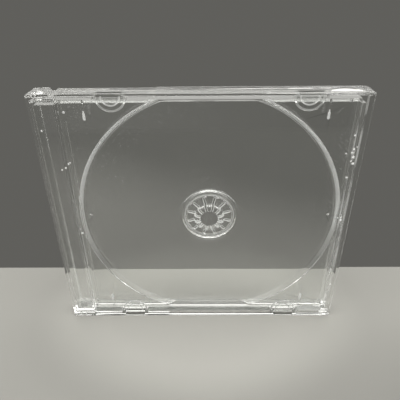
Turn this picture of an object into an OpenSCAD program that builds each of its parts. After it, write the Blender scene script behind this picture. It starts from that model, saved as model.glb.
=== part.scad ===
// Clear case for one 120 mm disc: a front cover, a back cover and a disc tray.
// The pieces are drawn lying on the back cover, with z = 0 at its outer face, and are
// then stood up on a long edge, with the front cover towards -Y and the hinge at -X.

/* [Case] */
// Width across the two narrow sides
case_w = 142; // [142:1:170]
// Height of the narrow sides
case_h = 125; // [125:1:150]
// Thickness of the cover panels and of their side walls
wall = 1.2; // [1:0.1:1.5]
// Radius of the two corners beside the hinge, seen from the front
corner_r = 1.2; // [0.5:0.1:2]
// Radius of the two corners at the free side
free_corner_r = 0.5; // [0.3:0.1:1.5]
// Gap between the side walls of the two covers
nest_gap = 0.3; // [0.25:0.05:0.4]

/* [Depths, from the back] */
// Room for a printed card behind the floor of the tray
card_room = 0.55; // [0.3:0.05:1]
// Thickness of the tray
tray_t = 1; // [0.8:0.1:1.2]
// Depth of the disc recess below the face of the tray
recess_depth = 2.9; // [2.7:0.1:3.6]
// Gap between the face of the tray and the booklet tabs
tab_clear = 0.55; // [0.5:0.05:1.5]
// Thickness of the booklet tabs
tab_t = 0.8; // [0.7:0.1:1.2]
// Room for a booklet between its tabs and the front panel
booklet_room = 2.1; // [1.5:0.05:3]

/* [Front cover] */
// Distance from the hinge side to the edge of the front panel
panel_inset = 12.5; // [12.4:0.1:16]
// Height of the back cover's rail, over which the front cover's walls stop
rail_h = 4.3; // [3.6:0.05:4.6]
// Gap between the rail and the front cover's walls
rail_gap = 0.2; // [0.1:0.05:0.4]
// Radius of the round end of a booklet tab
tab_r = 6.7; // [5:0.1:8.5]
// Length of the straight root of a booklet tab
tab_root = 0.75; // [0.2:0.05:1.5]
// Width and height of the bevel round the front edge of a tab
tab_bevel_w = 0.65; // [0.4:0.05:1.2]
tab_bevel_h = 0.4; // [0.1:0.05:0.45]
// Size of the bevel round the back edge of a tab
tab_edge = 0.25; // [0.1:0.05:0.3]
// Radius of the thicker middle of a tab, and how far it reaches towards the tray
tab_pad_r = 4.2; // [3:0.1:4.8]
tab_pad_h = 0.25; // [0.1:0.05:0.4]
// Distance of the booklet tabs from the middle of the disc
tab_offset = 41.3; // [38:0.1:43]
// Width of the window in the wall behind a booklet tab
window_w = 10.6; // [8:0.1:13]
// Width and height of the ridge that stops the booklet
stop_w = 0.8; // [0.6:0.1:1.2]
// Distance of the ridge from the edge of the front panel
stop_step = 1.6; // [0.8:0.1:3]
// Clear length from the ridge to each end of the case
stop_inset = 12; // [8:1:20]
// Radius of the finger grip, whose middle lies in the front face
grip_r = 7.5; // [6.5:0.1:8]
// Depth of the finger grip in the wall
grip_depth = 0.35; // [0.2:0.05:0.5]
// Distance of the middle of the grip from the free side
grip_inset = 10.7; // [9:0.1:16]
// Distance of the grip's flat side behind the front face
grip_drop = 1.95; // [1.5:0.05:3]
// Diameter and height of the bump that holds the cover shut
bump_d = 1.6; // [1:0.1:2]
bump_h = 0.2; // [0.1:0.05:0.2]
// Distance of that bump from the free side
bump_inset = 5.2; // [4.5:0.1:7]

/* [Hinge] */
// Distance of the hinge axis from the hinge side
pivot_inset = 4.6; // [4.4:0.1:5]
// Diameter of the hinge pins
pin_d = 3.5; // [2.5:0.1:4.2]
// Gap round the hinge pins in their holes
pin_clear = 0.05; // [0.02:0.01:0.1]
// How far the pins stand past the wall of the back cover
pin_past = 0.2; // [0.1:0.05:0.4]
// Length of the hinge arm at the rail, and at the back face
arm_len = 9.8; // [9.4:0.1:9.8]
arm_back_len = 7.4; // [7:0.1:7.6]
// Radius of the arm's back corner
arm_corner_r = 3; // [3:0.1:4]
// Gap between the turning arm and the end of the rail
arm_clear = 0.3; // [0.2:0.05:0.5]

/* [Back cover] */
// Thickness of the wall at the free side
free_wall_t = 1.8; // [1.2:0.1:2]
// How far the front cover overhangs that wall
overhang = 0.9; // [0.6:0.1:1.5]
// How far the rail lies inside the outline between the hinge and the disc
rail_drop = 0.35; // [0.2:0.05:0.6]
// Gap between a side wall and the inside of the front panel
lid_gap = 0.3; // [0.2:0.05:0.5]
// Gap beside a booklet tab in the side wall
notch_gap = 0.5; // [0.4:0.05:1]
// Width of the square posts in the two corners at the free side
post_w = 2; // [1:0.1:2.5]
// Length of the catches that hold the tray at the free side
catch_len = 5; // [4:0.5:8]
// How far the catches stand out, and their height
catch_reach = 0.5; // [0.4:0.05:0.6]
catch_h = 1; // [0.6:0.1:1.4]
// Distance of the outer catches from the middle one
catch_spread = 34; // [25:1:40]

/* [Tray] */
// Width of the raised strip at the hinge
strip_w = 10.1; // [9.5:0.1:10.2]
// How far the strip lies behind the front face
strip_drop = 0.3; // [0.3:0.05:0.6]
// Thickness of the strip's two end walls
strip_end_t = 1.3; // [1:0.1:1.6]
// Gap between the tray and the long walls
tray_gap = 0.8; // [0.5:0.05:1]
// Gap between the tray and the short walls
side_gap = 0.2; // [0.1:0.05:0.4]
// Gap between the skirt of the tray and the back panel
seat_gap = 0.1; // [0.05:0.05:0.2]
// Thickness of the skirt
skirt_t = 1; // [0.8:0.1:1.3]
// Size of the web in the corner between the face and the skirt
web = 0.7; // [0.4:0.1:1]
// Width and length of the slits in the skirt
slit_w = 0.8; // [0.5:0.1:1.2]
slit_len = 1.7; // [1.4:0.1:2.2]
// Distance of the outer slit from the free side
slit_inset = 7.5; // [6:0.1:9]
// Distance of the disc's middle from the case's middle
disc_offset = 4.2; // [4:0.1:4.4]
// Radius of the disc recess at the face of the tray
recess_r = 62.2; // [61:0.1:62.3]
// Radius lost down to the floor of the recess
recess_draft = 1.4; // [0.5:0.1:1.6]
// Distance of the finger pips from the middle of the disc
pip_offset = 58.7; // [57:0.1:59]
// Diameter of the half-round pips
pip_d = 1.6; // [1:0.1:1.8]
// Length and width of the half-round corner ribs that steady the booklet
rib_len = 3.4; // [3:0.1:6]
rib_w = 1.1; // [0.8:0.1:1.3]
// Distance of the ribs from the middle of the disc, at the hinge side and at the free side
rib_hinge_offset = 53.5; // [50:0.1:55]
rib_free_offset = 50.4; // [49:0.1:55]
// Distance of the corner ribs from the long edge of the case
rib_inset = 9.2; // [8:0.1:12]
// Height and width of the bead from each rib to the edge of the tray
bead_h = 0.2; // [0.1:0.05:0.3]
bead_w = 0.5; // [0.4:0.1:0.8]
// Diameter of the half-round mark in each corner beside the strip
mark_d = 1.1; // [0.8:0.1:1.6]
// Distance of the marks from the strip, and from the long edge of the case
mark_step = 1.9; // [1.2:0.1:3]
mark_inset = 8.9; // [7:0.1:12]

/* [Hub] */
// Diameter of the hub where it enters the disc
hub_d = 14.8; // [14:0.1:14.9]
// Thickness of the disc that the hub holds
disc_t = 1.2; // [1.1:0.05:1.3]
// Outer and inner radius of the ring that the disc rests on
ring_r = 14.7; // [14.2:0.1:16]
ring_in_r = 13.3; // [12.8:0.1:13.7]
// Size of the bevel round the outer edge of the ring
ring_bevel = 0.3; // [0.1:0.05:0.5]
// Height of the ring above the floor of the recess
ring_h = 1.55; // [1.3:0.05:1.6]
// Height of the floor of the groove inside the ring, and how far its two walls lean
ledge_h = 0.75; // [0.5:0.05:0.9]
groove_lean = 0.5; // [0.2:0.05:0.6]
// Radius of the plate that carries the fingers, and how far it lies below the ring
plate_r = 11.8; // [11.5:0.1:12.2]
plate_drop = 0.2; // [0.1:0.05:0.3]
// Thickness of the plate and of the fingers
hub_t = 0.9; // [0.7:0.05:1]
// How far each finger reaches over the edge of the disc, and its gap above the disc
tooth = 0.1; // [0.05:0.01:0.15]
tooth_gap = 0.2; // [0.1:0.05:0.3]
// Height of the slope below each tooth
tooth_slope = 0.3; // [0.2:0.05:0.4]
// Height of the fingers above the teeth
crown_h = 1.25; // [1:0.05:1.5]
// Width and height of the bevel round the top of a finger
crown_bevel_w = 0.6; // [0.3:0.05:0.8]
crown_bevel_h = 0.35; // [0.2:0.05:0.5]
// Radius of the fingers at the top of their bevel
crown_r = 6.1; // [5.8:0.1:6.3]
// Radius of the open eye between the finger tips
eye_r = 4.2; // [3.5:0.1:4.5]
// Number of slots between the fingers
slot_n = 12; // [8:1:12]
// Width of the slots
slot_w = 0.85; // [0.6:0.05:0.9]
// Radius to which the slots reach
slot_reach = 10.7; // [9:0.1:10.7]
// Size of the bevel round the slots
slot_bevel = 0.2; // [0.1:0.05:0.3]

/* [Hidden] */
$fn = 96;
// Overlap that joins touching shapes of one piece
eps = 0.05;
clear_plastic = [0.82, 0.88, 0.92, 0.55];

// Depths above the outer face of the back cover
floor_back_z = wall + card_room;
floor_z = floor_back_z + tray_t;
face_z = floor_z + recess_depth;
tab_z = face_z + tab_clear;
tab_top_z = tab_z + tab_t;
panel_z = tab_top_z + booklet_room;
case_t = panel_z + wall;
free_edge_z = rail_h + rail_gap;
side_wall_z = panel_z - lid_gap;
skirt_z = wall + seat_gap;
strip_z = case_t - strip_drop;
ring_z = floor_z + ring_h;
plate_z = ring_z - plate_drop;
ledge_z = floor_z + ledge_h;
tooth_z = ring_z + disc_t + tooth_gap;
hub_z = tooth_z + crown_h;

// Places across the width
left_x = -case_w / 2;
right_x = case_w / 2;
pivot_x = left_x + pivot_inset;
panel_x = left_x + panel_inset;
free_wall_x = right_x - overhang;
free_wall_in = free_wall_x - free_wall_t;
tray_l = left_x + wall + side_gap;
strip_r = tray_l + strip_w;
tray_r = free_wall_in - side_gap;
grip_x = right_x - grip_inset;
tab_xs = [disc_offset - tab_offset, disc_offset + tab_offset];
rib_xs = [disc_offset - rib_hinge_offset, disc_offset + rib_free_offset];

// Reach of the arm's back corner and of its back end from the hinge axis
corner_reach = norm([pivot_inset - arm_corner_r, case_t / 2 - arm_corner_r]) + arm_corner_r;
end_reach = norm([arm_back_len - pivot_inset, case_t / 2]);
rail_l = pivot_x + max(corner_reach, end_reach) + arm_clear;

// Places up from the long edge that the case stands on
side_y0 = wall + nest_gap;
side_y1 = side_y0 + wall;
gap_y = side_y0 - nest_gap / 2;
tray_y = side_y1 + tray_gap;
skirt_y = tray_y + skirt_t;
mid_y = case_h / 2;

// Half of the stretch along which the long edge cuts off the recess
chord_half = sqrt(max(0, pow(recess_r, 2) - pow(mid_y - skirt_y, 2)));

// Stands the model up: its depth runs back along +Y, and its height up along +Z
module upright() {
    translate([0, case_t / 2, 0]) rotate([90, 0, 0]) children();
}

// Repeats what is drawn at the bottom edge along the top edge
module both_edges() {
    children();
    translate([0, case_h, 0]) mirror([0, 1, 0]) children();
}

// Box between two corners
module block(low, high) {
    translate(low) cube(high - low);
}

// Plate in an x and z outline that starts at y and goes inwards
module edge_plate(y, thick) {
    translate([0, y + thick, 0]) rotate([90, 0, 0]) linear_extrude(thick) children();
}

// Full-depth solid inside the outline of the case, with its four round corners
module outline() {
    linear_extrude(case_t) {
        translate([left_x + corner_r, 0]) square([case_w - corner_r - free_corner_r, case_h]);
        outline_side(left_x, corner_r, 1);
        outline_side(right_x, free_corner_r, -1);
    }
}

module outline_side(x, r, way) {
    translate([min(x, x + way * r), r]) square([r, case_h - 2 * r]);
    for (y = [r, case_h - r]) translate([x + way * r, y]) circle(r);
}

// Finger grip seen from the edge, flat towards the front
module grip_outline(grow = 0) {
    intersection() {
        translate([grip_x, case_t]) circle(grip_r + grow);
        translate([grip_x - 2 * grip_r, -case_t]) square([4 * grip_r, 2 * case_t - grip_drop]);
    }
}

// Outline of a hinge arm: a full-depth block with a round back corner and a sloping end
module arm_outline() {
    r = arm_corner_r;
    end_x = left_x + arm_len;
    polygon([
        [left_x, r], [left_x + r, 0], [left_x + arm_back_len, 0], [end_x, free_edge_z],
        [end_x, case_t], [left_x, case_t]
    ]);
    translate([left_x + r, r]) circle(r);
}

// Long wall of the front cover, with a window behind each tab and the finger grip
module lid_wall() {
    difference() {
        union() {
            block([left_x + arm_len - eps, 0, free_edge_z], [right_x, wall, case_t]);
            edge_plate(0, wall) grip_outline();
        }
        for (x = tab_xs) {
            block([x - window_w / 2, -eps, tab_top_z], [x + window_w / 2, wall + eps, panel_z]);
        }
        edge_plate(-eps, grip_depth + eps) grip_outline();
    }
    translate([right_x - bump_inset, wall - eps, face_z]) rotate([-90, 0, 0])
        cylinder(d = bump_d, h = bump_h + eps);
}

// Half of the section of a booklet tab
module tab_section() {
    polygon([
        [0, tab_z - tab_pad_h], [tab_pad_r - tab_pad_h, tab_z - tab_pad_h], [tab_pad_r, tab_z],
        [tab_r - tab_edge, tab_z], [tab_r, tab_z + tab_edge], [tab_r, tab_top_z - tab_bevel_h],
        [tab_r - tab_bevel_w, tab_top_z], [0, tab_top_z]
    ]);
}

module booklet_tab(x) {
    translate([x, wall, 0]) {
        edge_plate(-eps, tab_root + eps) {
            tab_section();
            mirror([1, 0]) tab_section();
        }
        intersection() {
            translate([0, tab_root, 0]) rotate_extrude() tab_section();
            block([-tab_r, tab_root - eps, 0], [tab_r, tab_root + tab_r, case_t]);
        }
    }
}

module hinge_pin() {
    translate([pivot_x, wall - eps, case_t / 2]) rotate([-90, 0, 0])
        cylinder(d = pin_d, h = nest_gap + wall + pin_past + eps);
}

module front_cover() {
    color(clear_plastic) upright() {
        intersection() {
            outline();
            union() {
                block([panel_x, 0, panel_z], [right_x, case_h, case_t]);
                both_edges() {
                    lid_wall();
                    edge_plate(0, wall) arm_outline();
                }
            }
        }
        both_edges() {
            hinge_pin();
            for (x = tab_xs) booklet_tab(x);
        }
        block(
            [panel_x + stop_step, stop_inset, panel_z - stop_w],
            [panel_x + stop_step + stop_w, case_h - stop_inset, panel_z + eps]
        );
    }
}

// Side wall that nests inside the front cover, higher beside the hinge strip
module side_wall() {
    block([left_x, side_y0, 0], [free_wall_x, side_y1, side_wall_z]);
    block([left_x, side_y0, 0], [strip_r, side_y1, strip_z]);
}

// Rail that closes the gap below the free edge of the front cover's wall
module rail() {
    disc_x = disc_offset - chord_half;
    block([rail_l, rail_drop, 0], [disc_x + eps, side_y1, rail_h]);
    block([disc_x, 0, 0], [right_x, side_y1, rail_h]);
}

module corner_post() {
    block([free_wall_in - post_w, side_y1 - eps, 0], [free_wall_in + eps, side_y1 + post_w, side_wall_z]);
}

// Wedge over the edge of the tray, on the inner face of the wall at the free side
module tray_catch(y) {
    translate([free_wall_in, y + catch_len / 2, face_z + seat_gap]) rotate([90, 0, 0])
        linear_extrude(catch_len) polygon([[eps, 0], [-catch_reach, 0], [eps, catch_h]]);
}

module back_cover() {
    color(clear_plastic) upright() difference() {
        intersection() {
            outline();
            union() {
                block([left_x, side_y0, 0], [free_wall_x, case_h - side_y0, wall]);
                block([left_x, side_y0, 0], [left_x + wall, case_h - side_y0, strip_z]);
                block([free_wall_in, side_y0, 0], [free_wall_x, case_h - side_y0, side_wall_z]);
                both_edges() {
                    side_wall();
                    rail();
                    corner_post();
                }
                for (step = [-1, 0, 1]) tray_catch(mid_y + step * catch_spread);
            }
        }
        both_edges() {
            hinge_hole();
            for (x = tab_xs) tab_notch(x);
            grip_cut();
        }
    }
}

module hinge_hole() {
    translate([pivot_x, gap_y, case_t / 2]) rotate([-90, 0, 0])
        cylinder(d = pin_d + 2 * pin_clear, h = wall + nest_gap);
}

// Notch in the side wall round a booklet tab
module tab_notch(x) {
    reach = tab_r + notch_gap;
    block([x - reach, gap_y, face_z], [x + reach, side_y1 + eps, case_t]);
}

// The rail gives way to the bulge of the finger grip, with the same gap all round
module grip_cut() {
    edge_plate(-eps, gap_y + eps) grip_outline(rail_gap);
}

// Tapered body of the disc recess, cut off flat at y along both long edges
module recess(grow, z, y) {
    intersection() {
        translate([disc_offset, mid_y, z])
            cylinder(r1 = recess_r - recess_draft + grow, r2 = recess_r + grow, h = recess_depth + eps);
        block([left_x, y, 0], [right_x, case_h - y, face_z + eps]);
    }
}

// Section of the hub and its ring, turned about the middle of the disc
module hub_section() {
    r = hub_d / 2;
    polygon([
        [r - hub_t, plate_z - hub_t], [plate_r - hub_t, plate_z - hub_t],
        [plate_r - hub_t + groove_lean, ledge_z - hub_t], [ring_in_r, ledge_z - hub_t],
        [ring_in_r, floor_back_z], [ring_r, floor_back_z],
        [ring_r, ring_z - ring_bevel], [ring_r - ring_bevel, ring_z],
        [ring_in_r, ring_z], [ring_in_r - groove_lean, ledge_z], [plate_r + groove_lean, ledge_z],
        [plate_r, plate_z], [r, plate_z], [r, tooth_z - tooth_slope], [r + tooth, tooth_z],
        [crown_r + crown_bevel_w, hub_z - crown_bevel_h], [crown_r, hub_z],
        [eye_r + crown_bevel_w, hub_z], [eye_r, hub_z - crown_bevel_h],
        [eye_r, hub_z - hub_t], [r - hub_t, hub_z - hub_t - crown_bevel_h]
    ]);
}

// Slot between two fingers, bevelled where it opens in the face of the plate
module hub_slot() {
    half_w = slot_w / 2;
    end_x = slot_reach - half_w;
    low_z = plate_z - slot_bevel;
    top_z = plate_z + eps;
    top_w = half_w + slot_bevel + eps;
    block([0, -half_w, 0], [end_x, half_w, case_t]);
    translate([end_x, 0, 0]) cylinder(r = half_w, h = case_t);
    translate([hub_d / 2, 0, 0]) rotate([90, 0, 90]) linear_extrude(end_x - hub_d / 2)
        polygon([[-half_w, low_z], [half_w, low_z], [top_w, top_z], [-top_w, top_z]]);
    translate([end_x, 0, low_z]) cylinder(r1 = half_w, r2 = top_w, h = slot_bevel + eps);
}

module hub() {
    difference() {
        rotate_extrude() hub_section();
        for (i = [0 : slot_n - 1]) rotate((i + 0.5) * 360 / slot_n) hub_slot();
    }
}

// Hollow strip beside the hinge, nearly flush with the front cover
module hinge_strip() {
    inner_y = tray_y + strip_end_t;
    difference() {
        block([tray_l, tray_y, skirt_z], [strip_r, case_h - tray_y, strip_z]);
        block([tray_l + tray_t, inner_y, 0], [strip_r - tray_t, case_h - inner_y, strip_z - tray_t]);
        block([strip_r - tray_t - eps, inner_y, 0], [strip_r + eps, case_h - inner_y, face_z - tray_t]);
    }
}

// Web in the corner between the face of the tray and its skirt
module skirt_web() {
    z = face_z - tray_t;
    y = skirt_y;
    translate([strip_r - eps, 0, 0]) rotate([90, 0, 90]) linear_extrude(tray_r - strip_r)
        polygon([[y - eps, z + eps], [y + web, z + eps], [y + web, z], [y, z - web], [y - eps, z - web]]);
}

// Half-round rib with two round ends, and the bead from it to the edge of the tray
module corner_rib(x) {
    r = rib_w / 2;
    y0 = rib_inset + r;
    y1 = rib_inset + rib_len - r;
    translate([x, y0, face_z]) rotate([-90, 0, 0]) cylinder(r = r, h = y1 - y0);
    for (y = [y0, y1]) translate([x, y, face_z]) sphere(r);
    block([x - bead_w / 2, tray_y, face_z - eps], [x + bead_w / 2, y0, face_z + bead_h]);
}

module corner_mark() {
    translate([strip_r + mark_step, mark_inset, face_z]) sphere(d = mark_d);
}

module skirt_slit(x) {
    block([x - slit_w / 2, tray_y - eps, 0], [x + slit_w / 2, tray_y + slit_len, case_t]);
}

// Corner cut out of the tray round a post of the back cover
module post_cut() {
    block([free_wall_in - post_w - side_gap, 0, 0], [tray_r + eps, side_y1 + post_w + side_gap, case_t]);
}

module disc_tray() {
    color(clear_plastic) upright() {
        difference() {
            union() {
                block([strip_r - eps, tray_y, face_z - tray_t], [tray_r, case_h - tray_y, face_z]);
                block([tray_r - tray_t, tray_y, skirt_z], [tray_r, case_h - tray_y, face_z]);
                recess(tray_t, floor_back_z, tray_y);
                hinge_strip();
                both_edges() {
                    block([strip_r - eps, tray_y, skirt_z], [tray_r, skirt_y, face_z]);
                    skirt_web();
                    for (x = rib_xs) corner_rib(x);
                    corner_mark();
                }
            }
            recess(0, floor_z, skirt_y);
            translate([disc_offset, mid_y, 0]) cylinder(r = ring_in_r, h = case_t);
            both_edges() {
                for (x = rib_xs) skirt_slit(x);
                skirt_slit(strip_r + slit_w);
                skirt_slit(right_x - slit_inset);
                post_cut();
            }
        }
        translate([disc_offset, mid_y, 0]) hub();
        for (way = [-1, 1]) {
            translate([disc_offset + way * pip_offset, mid_y, floor_z]) sphere(d = pip_d);
        }
    }
}

front_cover();
back_cover();
disc_tray();
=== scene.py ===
"""Looks of a clear disc case that stands on a long edge, on a pale shelf.

All lengths are metres in the frame of the CAD model: X from the hinge to the free side,
Y from the front cover to the back cover, Z up from the edge that the case stands on.
"""

import math

import bpy
from mathutils import Matrix, Vector


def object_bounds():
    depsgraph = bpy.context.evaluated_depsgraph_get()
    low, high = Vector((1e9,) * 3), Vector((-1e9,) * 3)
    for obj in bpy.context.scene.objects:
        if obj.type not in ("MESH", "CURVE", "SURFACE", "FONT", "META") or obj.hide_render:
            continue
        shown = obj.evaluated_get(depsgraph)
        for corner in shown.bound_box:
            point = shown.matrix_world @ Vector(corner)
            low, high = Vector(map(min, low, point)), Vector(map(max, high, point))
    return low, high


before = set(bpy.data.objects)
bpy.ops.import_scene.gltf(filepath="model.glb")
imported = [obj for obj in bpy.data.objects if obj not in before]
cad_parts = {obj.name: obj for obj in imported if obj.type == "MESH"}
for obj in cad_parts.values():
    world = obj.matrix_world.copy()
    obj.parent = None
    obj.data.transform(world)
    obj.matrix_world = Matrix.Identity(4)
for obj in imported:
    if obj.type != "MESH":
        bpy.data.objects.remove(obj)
cad_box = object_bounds()

MM = 0.001
FRONT_Y = cad_box[0][1]
MID_Z = (cad_box[0][2] + cad_box[1][2]) / 2


# Node trees


class Value:
    """A number socket. Python arithmetic on it adds Math nodes."""

    def __init__(self, tree, socket):
        self.tree = tree
        self.socket = socket

    def math(self, operation, *others):
        return self.tree.math(operation, self, *others)

    def __add__(self, other):
        return self.math("ADD", other)

    def __sub__(self, other):
        return self.math("SUBTRACT", other)

    def __rsub__(self, other):
        return self.tree.math("SUBTRACT", other, self)

    def __mul__(self, other):
        return self.math("MULTIPLY", other)

    __radd__ = __add__
    __rmul__ = __mul__


class Tree:
    """The node tree of a new material or world."""

    def __init__(self, owner, output="OutputMaterial"):
        owner.use_nodes = True
        self.owner = owner
        self.nodes = owner.node_tree.nodes
        self.links = owner.node_tree.links
        self.nodes.clear()
        self.output = self.add(output)

    def feed(self, socket, value):
        if isinstance(value, Value):
            value = value.socket
        if isinstance(value, bpy.types.NodeSocket):
            self.links.new(value, socket)
        else:
            socket.default_value = value

    def add(self, kind, settings=None, sockets=None):
        """Adds a node: its settings come first, then the values or links of its sockets."""
        node = self.nodes.new("ShaderNode" + kind)
        for name, value in (settings or {}).items():
            setattr(node, name, value)
        for name, value in (sockets or {}).items():
            self.feed(node.inputs[name], value)
        return node

    def math(self, operation, *values):
        node = self.add("Math", {"operation": operation}, dict(enumerate(values)))
        return Value(self, node.outputs[0])

    def place(self):
        """The point on the object, in the frame of the CAD model."""
        return self.add("TexCoord").outputs["Object"]

    def axes(self, vector):
        parts = self.add("SeparateXYZ", None, {0: vector}).outputs
        return [Value(self, parts[axis]) for axis in "XYZ"]

    def noise(self, size, detail=2):
        """Cloudy noise from 0 to 1, with features of about the given size."""
        sockets = {"Vector": self.place(), "Scale": 1 / size, "Detail": detail}
        return Value(self, self.add("TexNoise", None, sockets).outputs["Fac"])

    def step(self, value, low, high):
        """0 below low, 1 above high, and smooth between them."""
        settings = {"interpolation_type": "SMOOTHSTEP"}
        sockets = {"Value": value, "From Min": low, "From Max": high}
        return Value(self, self.add("MapRange", settings, sockets).outputs["Result"])

    def over(self, value, limit):
        return self.math("GREATER_THAN", value, limit)

    def under(self, value, limit):
        return self.math("LESS_THAN", value, limit)

    def between(self, value, low, high):
        return self.over(value, low) * self.under(value, high)

    def length(self, across, up):
        return self.math("SQRT", across * across + up * up)

    def spot(self, centre, radius, wobble):
        """Ragged spot: 1 at its centre, and 0 from about the given radius on."""
        sockets = {0: self.place(), 1: centre}
        away = self.add("VectorMath", {"operation": "DISTANCE"}, sockets).outputs["Value"]
        away = Value(self, away) + 2 * radius * (wobble - 0.5)
        return 1 - self.step(away, 0.5 * radius, radius)

    def mix(self, factor, first, second, blend_type="MIX"):
        """Mixes two colours, which are sockets 6 and 7 of the node."""
        settings = {"data_type": "RGBA", "blend_type": blend_type}
        return self.add("Mix", settings, {0: factor, 6: first, 7: second}).outputs[2]

    def show(self, shader):
        self.links.new(shader.outputs[0], self.output.inputs["Surface"])
        return self.owner


# Clear plastic

PLASTIC_TINT = (0.985, 0.99, 0.985, 1)
PLASTIC_IOR = 1.59
# Worn, ribbed and dusty places scatter the light and look white; the same white also paints
# highlights where edges and rims catch the light
FROST_AND_HIGHLIGHT_WHITE = (0.86, 0.86, 0.84, 1)
FROST_ROUGHNESS = 0.6
# Painted glow: the white places give off light of their own, which stands for the light that
# the plastic carries to such places
PAINTED_GLOW = 0.45
RIDGE_DEPTH = 0.03 * MM


def plastic(name, frost_and_highlights, ridges=None):
    """Clear smooth plastic, white from 0 to 1 at worn, dusty and ribbed places and at painted
    highlights, and with fine ridges where given.
    """
    tree = Tree(bpy.data.materials.new(name))
    clear = tree.add(
        "BsdfPrincipled",
        None,
        {
            "Base Color": PLASTIC_TINT,
            "Transmission Weight": 1.0,
            "IOR": PLASTIC_IOR,
            "Roughness": 0.0,
        },
    )
    if ridges:
        sockets = {"Strength": 1.0, "Distance": RIDGE_DEPTH, "Height": ridges(tree)}
        tree.feed(clear.inputs["Normal"], tree.add("Bump", None, sockets).outputs[0])
    # This white shader, with its painted glow, draws both real wear and painted highlights
    frost_and_highlight_shader = tree.add(
        "BsdfPrincipled",
        None,
        {
            "Base Color": FROST_AND_HIGHLIGHT_WHITE,
            "Roughness": FROST_ROUGHNESS,
            "Emission Color": FROST_AND_HIGHLIGHT_WHITE,
            "Emission Strength": PAINTED_GLOW,
        },
    )
    sockets = {0: frost_and_highlights(tree), 1: clear.outputs[0], 2: frost_and_highlight_shader.outputs[0]}
    return tree.show(tree.add("MixShader", None, sockets))


# Wear, and painted highlights, that more than one piece has

# Specks of dust lie in loose clouds, on the outer faces and clear of the hinge
DUST_SIZE, DUST_FROM, DUST_TO = 0.5 * MM, 0.76, 0.82
DUST_CLOUD_SIZE, DUST_CLOUD_FROM, DUST_CLOUD_TO = 25 * MM, 0.45, 0.65
DUST_STRENGTH = 0.28
DUST_FROM_X = -55 * MM
# How far below its face a panel still counts as its outer face
SKIN = 0.02 * MM
# Size of the ragged detail round a scuff
SCUFF_RAGS = 0.4 * MM
# Upright edges at the free side carry painted highlights in stretches, for the light that the
# plastic carries along them
EDGE_HIGHLIGHT = 0.5
EDGE_HIGHLIGHT_LENGTH, EDGE_HIGHLIGHT_FROM, EDGE_HIGHLIGHT_TO = 12 * MM, 0.35, 0.65


def dust(tree, x, y):
    """Sparse specks on the outer faces of the two covers."""
    outer = tree.over(tree.math("ABSOLUTE", y), -FRONT_Y - SKIN) * tree.over(x, DUST_FROM_X)
    specks = tree.step(tree.noise(DUST_SIZE, detail=0), DUST_FROM, DUST_TO)
    clouds = tree.noise(DUST_CLOUD_SIZE, detail=1)
    return DUST_STRENGTH * specks * tree.step(clouds, DUST_CLOUD_FROM, DUST_CLOUD_TO) * outer


def scuffs(tree, spots, y):
    """Ragged spots on a face at y. Each has its X, Z and radius in millimetres."""
    wobble = tree.noise(SCUFF_RAGS)
    total = 0
    for x, z, radius in spots:
        total = total + tree.spot((x * MM, y, z * MM), radius * MM, wobble)
    return total


def edge_highlights(tree, edge):
    # Painted highlight along an edge, broken into stretches
    stretches = tree.noise(EDGE_HIGHLIGHT_LENGTH, detail=3)
    return EDGE_HIGHLIGHT * edge * tree.step(stretches, EDGE_HIGHLIGHT_FROM, EDGE_HIGHLIGHT_TO)


# Front cover

# The finger grips near the free side, sunk in the outer faces of the long walls
# Their white is partly the scatter of their ridges and partly a painted highlight, for the
# light that their sunk floors catch
GRIP_FROST_AND_HIGHLIGHT, GRIP_STRIPES = 0.5, 0.15
GRIP_FROM_X, GRIP_TO_X = 52.9 * MM, 67.8 * MM
GRIP_FRONT_Y = -3.15 * MM
GRIP_LOW, GRIP_HIGH = 61.9 * MM, 62.4 * MM
# Fine ridges cross the grips, and the middle of the long walls
RIDGE_PITCH = 0.85 * MM
RIDGE_FROM_X, RIDGE_TO_X = -18.3 * MM, 26.7 * MM

# Half-round booklet tabs, with painted highlights on their rims where the edges catch the light
TAB_RIM_HIGHLIGHT = 0.35
TAB_CENTRES_X = (-37.1 * MM, 45.5 * MM)
TAB_CENTRE_HEIGHT = 60.55 * MM
TAB_FRONT_Y, TAB_BACK_Y = -2 * MM, -0.7 * MM
# Inner and outer radius of the bright lines on a tab, in millimetres
TAB_RIMS = [(6.42, 6.75), (5.85, 6.1), (3.6, 4.25)]

# Scuffs near the two upright edges of the front panel
PANEL_SCUFFS = [
    (65.7, 106.7, 0.5), (67.6, 101.4, 0.4), (66.4, 100.5, 0.6), (65.9, 98.8, 0.6),
    (66.8, 96.7, 0.7), (66.2, 94.8, 0.5), (67.2, 93.6, 0.7), (63.4, 98.4, 0.4),
    (65.6, 86.7, 0.6), (66.9, 63.8, 0.6), (65.2, 65, 0.4), (68.4, 23, 0.5),
    (-58.4, 94, 0.7), (-57.4, 94.5, 0.4), (-57.8, 56.6, 0.6), (-58.4, 59, 0.4),
]


def ridge_wave(tree, x):
    return tree.math("SINE", x * (2 * math.pi / RIDGE_PITCH))


def grip_frost_and_highlight(tree, x, y, from_middle):
    # Grip white: scatter of the ridges and a painted highlight
    grip = tree.between(from_middle, GRIP_LOW, GRIP_HIGH) * tree.over(y, GRIP_FRONT_Y)
    grip = grip * tree.between(x, GRIP_FROM_X, GRIP_TO_X)
    return (GRIP_FROST_AND_HIGHLIGHT + GRIP_STRIPES * ridge_wave(tree, x)) * grip


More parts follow.
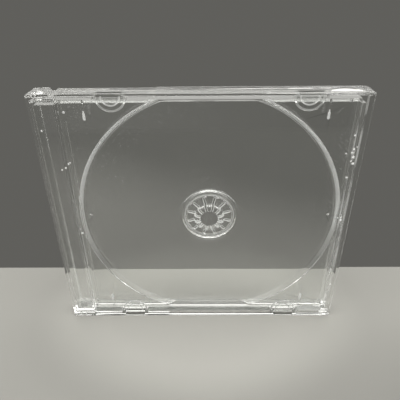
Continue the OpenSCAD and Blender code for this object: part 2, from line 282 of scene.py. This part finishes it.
def tab_highlights(tree, x, y, from_middle):
    at_tab = tree.between(y, TAB_FRONT_Y, TAB_BACK_Y)
    at_tab = at_tab * tree.under(from_middle, TAB_CENTRE_HEIGHT)
    # Painted highlights round the rims of each tab
    total = 0
    for centre_x in TAB_CENTRES_X:
        radius = tree.length(x - centre_x, from_middle - TAB_CENTRE_HEIGHT)
        for inner, outer in TAB_RIMS:
            total = total + tree.between(radius, inner * MM, outer * MM)
    return TAB_RIM_HIGHLIGHT * total * at_tab


def front_cover_frost_and_highlights(tree):
    x, y, z = tree.axes(tree.place())
    from_middle = tree.math("ABSOLUTE", z - MID_Z)
    # Grips and tabs add painted highlights; scuffs and dust are wear
    total = grip_frost_and_highlight(tree, x, y, from_middle) + tab_highlights(tree, x, y, from_middle)
    total = total + scuffs(tree, PANEL_SCUFFS, FRONT_Y) + dust(tree, x, y)
    return tree.math("MINIMUM", total, 1)


def front_cover_ridges(tree):
    """Fine ridges for the fingers, along the middle of both long walls."""
    x, _, z = tree.axes(tree.place())
    on_wall = tree.over(tree.math("ABSOLUTE", z - MID_Z), GRIP_HIGH)
    return ridge_wave(tree, x) * on_wall * tree.between(x, RIDGE_FROM_X, RIDGE_TO_X)


# Back cover

# The end of the free-side wall shows as one upright line, a painted highlight for the light
# that the wall carries
WALL_LINE_FROM_X, WALL_LINE_TO_X = 68.2 * MM, 69.1 * MM
WALL_END_Y = -3.6 * MM


def back_cover_dust_and_highlights(tree):
    x, y, _ = tree.axes(tree.place())
    # Painted highlight along the end of the wall, and real dust
    wall_end = tree.between(x, WALL_LINE_FROM_X, WALL_LINE_TO_X) * tree.under(y, WALL_END_Y)
    return tree.math("MINIMUM", edge_highlights(tree, wall_end) + dust(tree, x, y), 1)


# Disc tray

DISC_X = 4.2 * MM

# The bevel round each slot of the hub carries a painted highlight, at this distance from the
# slot's middle line
SLOTS = 12
SLOT_EDGE_IN, SLOT_EDGE_OUT = 0.40 * MM, 0.64 * MM
# Where the middle line ends, inside the round end of the slot
SLOT_END_RADIUS = 10.275 * MM
HUB_HIGHLIGHT = 0.6
HUB_IN, HUB_OUT = 4 * MM, 11 * MM
HUB_RIM_IN, HUB_RIM_OUT, HUB_RIM_FRONT_Y = 11.7 * MM, 12.1 * MM, 1 * MM

# Painted highlight on the wall round the disc recess, seen through the tray. It ends where the
# long edges of the tray cut it off, and is painted brightest in its upper half, where more
# light falls.
RECESS_HIGHLIGHT = 0.7
RECESS_IN, RECESS_OUT, RECESS_BEHIND_Y = 62.3 * MM, 63.5 * MM, 0.6 * MM
RECESS_END = 58.2 * MM
RECESS_DIM_Z, RECESS_BRIGHT_Z = 10 * MM, 90 * MM

# The short upright ribs in the four corners, which stand proud of the tray's face, carry a
# painted highlight for the light that they catch
RIB_FRONT_Y, RIB_BACK_Y = -1.2 * MM, -0.53 * MM
RIB_LOW, RIB_HIGH = 49.8 * MM, 54.2 * MM

# The raised strip beside the hinge
STRIP_Y = -4.85 * MM
STRIP_RIGHT_X = -58.5 * MM
STRIP_SCUFFS = [(-59.8, 91.9, 0.5), (-61.7, 90.9, 0.4), (-67, 109.3, 0.5)]

# The edge at the free side, which carries a painted highlight in stretches
TRAY_EDGE_X = 67.5 * MM
TRAY_FACE_Y = -0.45 * MM


def hub_highlights(tree, y, across, up, radius):
    """Painted highlights on the edges round the slots of the hub, and round the plate that they
    are cut in.
    """
    share = 2 * math.pi / SLOTS
    turn = tree.math("FLOORED_MODULO", tree.math("ARCTAN2", up, across), share) - share / 2
    along = tree.math("MAXIMUM", radius * tree.math("COSINE", turn) - SLOT_END_RADIUS, 0)
    beside = radius * tree.math("SINE", turn)
    edges = tree.between(tree.length(beside, along), SLOT_EDGE_IN, SLOT_EDGE_OUT)
    edges = edges * tree.between(radius, HUB_IN, HUB_OUT)
    rim = tree.between(radius, HUB_RIM_IN, HUB_RIM_OUT) * tree.over(y, HUB_RIM_FRONT_Y)
    return HUB_HIGHLIGHT * (edges + rim)


def recess_highlight(tree, y, z, up, radius):
    """Painted highlight on the back of the wall round the recess for the disc."""
    wall = tree.between(radius, RECESS_IN, RECESS_OUT) * tree.over(y, RECESS_BEHIND_Y)
    wall = wall * tree.under(tree.math("ABSOLUTE", up), RECESS_END)
    return RECESS_HIGHLIGHT * wall * tree.step(z, RECESS_DIM_Z, RECESS_BRIGHT_Z)


def rib_highlights(tree, x, y, up):
    proud = tree.between(y, RIB_FRONT_Y, RIB_BACK_Y) * tree.over(x, STRIP_RIGHT_X)
    return proud * tree.between(tree.math("ABSOLUTE", up), RIB_LOW, RIB_HIGH)


def disc_tray_scuffs_and_highlights(tree):
    x, y, z = tree.axes(tree.place())
    across, up = x - DISC_X, z - MID_Z
    radius = tree.length(across, up)
    free_edge = tree.over(x, TRAY_EDGE_X) * tree.under(y, TRAY_FACE_Y)
    # Hub, recess wall, ribs and free edge are painted highlights; the strip's scuffs are wear
    total = hub_highlights(tree, y, across, up, radius) + recess_highlight(tree, y, z, up, radius)
    total = total + rib_highlights(tree, x, y, up) + edge_highlights(tree, free_edge)
    total = total + scuffs(tree, STRIP_SCUFFS, STRIP_Y)
    return tree.math("MINIMUM", total, 1)


# Finishes of the three pieces

EDGE_ROUND = 0.08 * MM
EDGE_ANGLE = math.radians(30)
WELD_GAP = 0.001 * MM


def soften_edges(part):
    """Rounds the moulded edges a little, so that they catch the light."""
    weld = part.modifiers.new("joined_corners", "WELD")
    weld.merge_threshold = WELD_GAP
    rounding = part.modifiers.new("rounded_edges", "BEVEL")
    rounding.width = EDGE_ROUND
    rounding.segments = 2
    rounding.limit_method = "ANGLE"
    rounding.angle_limit = EDGE_ANGLE
    # Clamping would hold every edge back to suit the shortest one
    rounding.use_clamp_overlap = False
    shading = part.modifiers.new("flat_faces_stay_flat", "WEIGHTED_NORMAL")
    shading.mode = "FACE_AREA_WITH_ANGLE"
    shading.weight = 50
    shading.keep_sharp = False


FINISHES = {
    "front_cover": plastic("front_cover_plastic", front_cover_frost_and_highlights, front_cover_ridges),
    "back_cover": plastic("back_cover_plastic", back_cover_dust_and_highlights),
    "disc_tray": plastic("disc_tray_plastic", disc_tray_scuffs_and_highlights),
}

for name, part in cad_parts.items():
    part.data.materials.clear()
    part.data.materials.append(FINISHES[name])
    soften_edges(part)


# Shelf

SHELF_HALF_W = 0.6
SHELF_FRONT_Y, SHELF_BACK_Y = -0.32, 0.036
SHELF_TOP_Z, SHELF_BOTTOM_Z = -0.05 * MM, -0.05
SHELF_ROUND, SHELF_ROUND_STEPS = 0.045, 24
SHELF_WHITE = (0.292, 0.289, 0.272, 1)
SHELF_ROUGHNESS, SHELF_SPECULAR = 0.8, 0.3
MOTTLE, MOTTLE_SIZE = 0.06, 60 * MM
GRAIN, GRAIN_SIZE = 0.04, 0.8 * MM
# Painted shade: the front of the shelf, which the front panel mirrors, gets darker towards its
# edge, where less light falls
FADE, FADE_FROM_Y, FADE_TO_Y = 0.7, -0.055, -0.20
FADE_SLANT = 0.55
# A paler patch stands for the light that the case throws on the shelf round its foot
POOL, POOL_SHAPE, POOL_IN, POOL_OUT = 0.5, 0.5, 0.036, 0.068


def shelf_finish():
    tree = Tree(bpy.data.materials.new("shelf_top"))
    x, y, _ = tree.axes(tree.place())
    mottle = MOTTLE * (tree.noise(MOTTLE_SIZE, detail=3) - 0.5)
    shade = 1 + mottle + GRAIN * (tree.noise(GRAIN_SIZE) - 0.5)
    # Painted shade towards the front edge of the shelf
    shade = shade * (1 - FADE * (1 - tree.step(y - FADE_SLANT * x, FADE_TO_Y, FADE_FROM_Y)))
    away = tree.math("SQRT", x * x * POOL_SHAPE + y * y)
    shade = shade * (1 + POOL * (1 - tree.step(away, POOL_IN, POOL_OUT)))
    sockets = {
        "Base Color": tree.mix(1.0, SHELF_WHITE, shade, "MULTIPLY"),
        "Roughness": SHELF_ROUGHNESS,
        "Specular IOR Level": SHELF_SPECULAR,
    }
    return tree.show(tree.add("BsdfPrincipled", None, sockets))


def shelf_outline():
    """Y and Z of the shelf's section, whose front edge is well rounded."""
    points = [
        (SHELF_FRONT_Y, SHELF_BOTTOM_Z),
        (SHELF_BACK_Y, SHELF_BOTTOM_Z),
        (SHELF_BACK_Y, SHELF_TOP_Z),
    ]
    for i in range(SHELF_ROUND_STEPS + 1):
        turn = math.pi / 2 * i / SHELF_ROUND_STEPS
        y = SHELF_FRONT_Y + SHELF_ROUND * (1 - math.sin(turn))
        points.append((y, SHELF_TOP_Z - SHELF_ROUND * (1 - math.cos(turn))))
    return points


def extruded(name, outline, half_w):
    """Solid with a Y and Z outline that reaches the same way to both sides."""
    n = len(outline)
    corners = [(x, y, z) for x in (-half_w, half_w) for y, z in outline]
    sides = [(i, (i + 1) % n, (i + 1) % n + n, i + n) for i in range(n)]
    ends = [tuple(reversed(range(n))), tuple(range(n, 2 * n))]
    mesh = bpy.data.meshes.new(name)
    mesh.from_pydata(corners, [], sides + ends)
    return bpy.data.objects.new(name, mesh)


scene = bpy.context.scene
shelf = extruded("shelf", shelf_outline(), SHELF_HALF_W)
shelf.data.materials.append(shelf_finish())
scene.collection.objects.link(shelf)


# Light

BACKDROP_GREY = (0.117, 0.115, 0.106, 1)
FLOOR_GREY = (0.175, 0.172, 0.159, 1)
# How much darker the floor gets towards the right
FLOOR_SLOPE = 0.9
STUDIO_TINT = (1, 0.99, 0.955, 1)
# Limits are the upward or backward part of a unit direction, from -1 to 1
BEHIND_FROM, BEHIND_TO = -0.5, -0.1
LOW_GLOW, LOW_FROM, LOW_TO = 0.42, 0.10, 0.15
HIGH_FROM, HIGH_TO = 0.42, 0.75
TOP_GLOW, SIDE_GLOW = 1.0, 1.4
FRONT_GLOW, FRONT_TO, FRONT_FROM = 1.6, -0.25, 0.05
FRONT_LOW, FRONT_HIGH = 0.6, 0.85


def studio_world():
    """A dark backdrop and floor, and above them a pale glow from the top, sides and front."""
    tree = Tree(bpy.data.worlds.new("studio"), output="OutputWorld")
    side, back, height = tree.axes(tree.add("TexCoord").outputs["Generated"])
    behind = tree.step(back, BEHIND_FROM, BEHIND_TO)
    low = LOW_GLOW * tree.step(height, LOW_FROM, LOW_TO) * behind
    high = (TOP_GLOW + SIDE_GLOW * side * side) * tree.step(height, HIGH_FROM, HIGH_TO)
    in_front = 1 - tree.step(back, FRONT_TO, FRONT_FROM)
    front = FRONT_GLOW * in_front * tree.step(height, FRONT_LOW, FRONT_HIGH)
    sockets = {"Color": STUDIO_TINT, "Strength": low + high + front}
    glow = tree.add("Background", None, sockets)
    surround = tree.mix(behind, FLOOR_GREY, BACKDROP_GREY)
    sockets = {"Color": surround, "Strength": 1 - FLOOR_SLOPE * side * (1 - behind)}
    backdrop = tree.add("Background", None, sockets)
    return tree.show(tree.add("AddShader", None, {0: glow.outputs[0], 1: backdrop.outputs[0]}))


scene.world = studio_world()


# Camera

# Place, lens and turn suit the corners of a case of the real size in the photograph
CAMERA_PLACE = (1.4369 * MM, -165.7728 * MM, 170.7766 * MM)
CAMERA_LENS = 36.198
CAMERA_CLIP = 10 * MM
CAMERA_YAW, CAMERA_PITCH, CAMERA_ROLL = -0.010104, 0.536710, -0.008901


def camera_turn(yaw, pitch, roll):
    """Turns to the right, down and about the line of sight, in radians, from a view along Y."""
    ahead = Vector((
        math.sin(yaw) * math.cos(pitch),
        math.cos(yaw) * math.cos(pitch),
        -math.sin(pitch),
    ))
    level = Vector((math.cos(yaw), -math.sin(yaw), 0))
    up = level.cross(ahead)
    right = math.cos(roll) * level + math.sin(roll) * up
    upright = math.cos(roll) * up - math.sin(roll) * level
    return Matrix((right, upright, -ahead)).transposed().to_4x4()


camera_data = bpy.data.cameras.new("camera")
camera_data.lens = CAMERA_LENS
camera_data.clip_start = CAMERA_CLIP
camera = bpy.data.objects.new("camera", camera_data)
turned = camera_turn(CAMERA_YAW, CAMERA_PITCH, CAMERA_ROLL)
camera.matrix_world = Matrix.Translation(CAMERA_PLACE) @ turned
scene.collection.objects.link(camera)
scene.camera = camera

scene.view_settings.view_transform = "Standard"
# Light that enters an edge of a panel is carried along it by very many reflections
GUIDED_BOUNCES = 400
scene.cycles.max_bounces = GUIDED_BOUNCES
scene.cycles.transmission_bounces = GUIDED_BOUNCES
scene.cycles.glossy_bounces = GUIDED_BOUNCES
